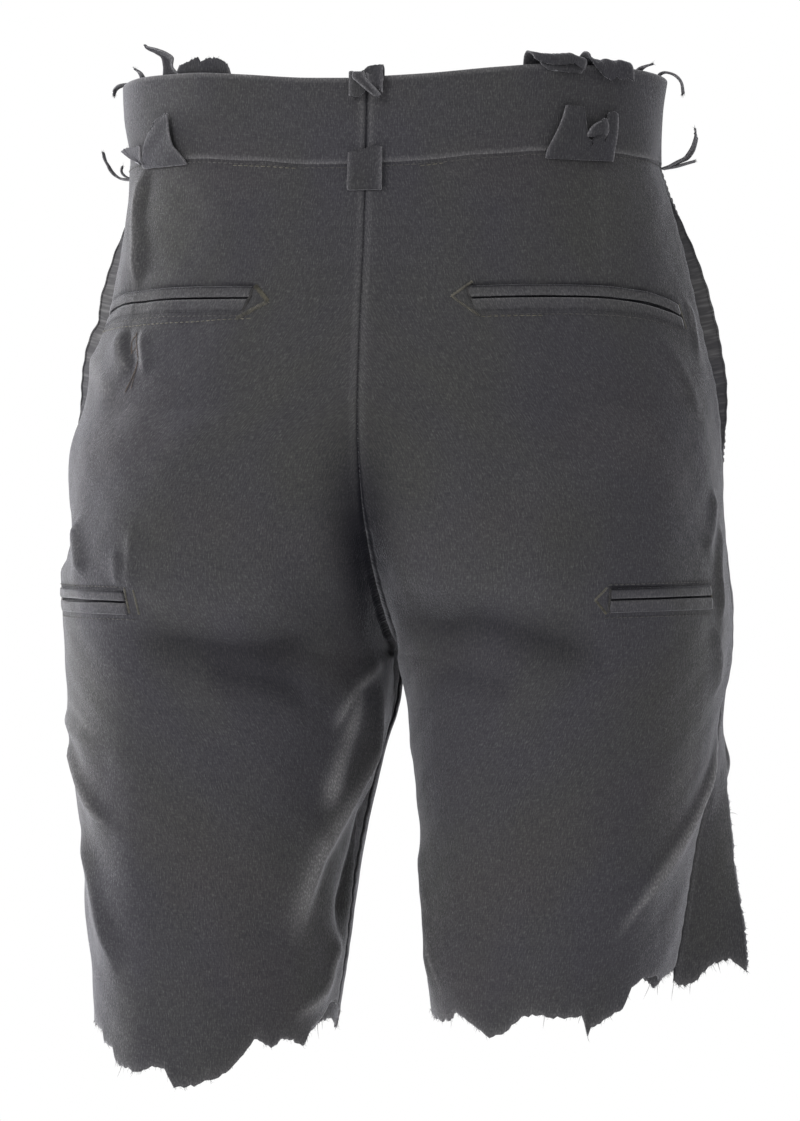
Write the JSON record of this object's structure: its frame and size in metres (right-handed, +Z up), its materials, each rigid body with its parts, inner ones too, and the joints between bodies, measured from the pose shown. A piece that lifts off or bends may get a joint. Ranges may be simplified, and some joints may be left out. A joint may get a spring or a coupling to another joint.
{
  "type": "cut-off shorts",
  "caption": "Knee-length cut-off wool shorts, worn form, hollow, with a waistband, welted pockets, torn belt loops and ragged hems.",
  "frame": {"origin": "centre of the waist, inside the waistband, where the wearer holds the garment up", "axes": "+Z up, front towards -Y, wearer's left towards +X"},
  "size_m": [0.3828, 0.2468, 0.5666],
  "materials": {
    "serge": "dark grey heathered wool serge, weathered, fine diagonal twill, soft nap, very matt",
    "band": "the same serge, doubled and topstitched as a waistband",
    "welt": "the same serge, folded and pressed into narrow welts",
    "loop": "the same serge, pressed double, torn and frayed",
    "lining": "plain dark serge facing",
    "button": "dark four-hole horn button, half polished"
  },
  "bodies": {
    "root": {"back_left": "serge", "back_right": "serge", "front_left": "serge", "front_right": "serge", "waistband_left": "band", "waistband_right": "band", "fly_shield": "lining", "waist_button": "button", "hip_welt_upper_left": "welt", "hip_welt_lower_left": "welt", "hip_welt_upper_right": "welt", "hip_welt_lower_right": "welt", "thigh_welt_upper_left": "welt", "thigh_welt_lower_left": "welt", "thigh_welt_upper_right": "welt", "thigh_welt_lower_right": "welt", "pocket_facing_left": "lining", "pocket_facing_right": "lining", "loop_centre_upper": "loop", "loop_centre_lower": "loop", "loop_back_upper_left": "loop", "loop_back_upper_right": "loop", "loop_back_lower_left": "loop", "loop_back_lower_right": "loop", "loop_side_upper_left": "loop", "loop_side_upper_right": "loop", "loop_side_lower_left": "loop", "loop_side_lower_right": "loop"}
  },
  "joints": []
}
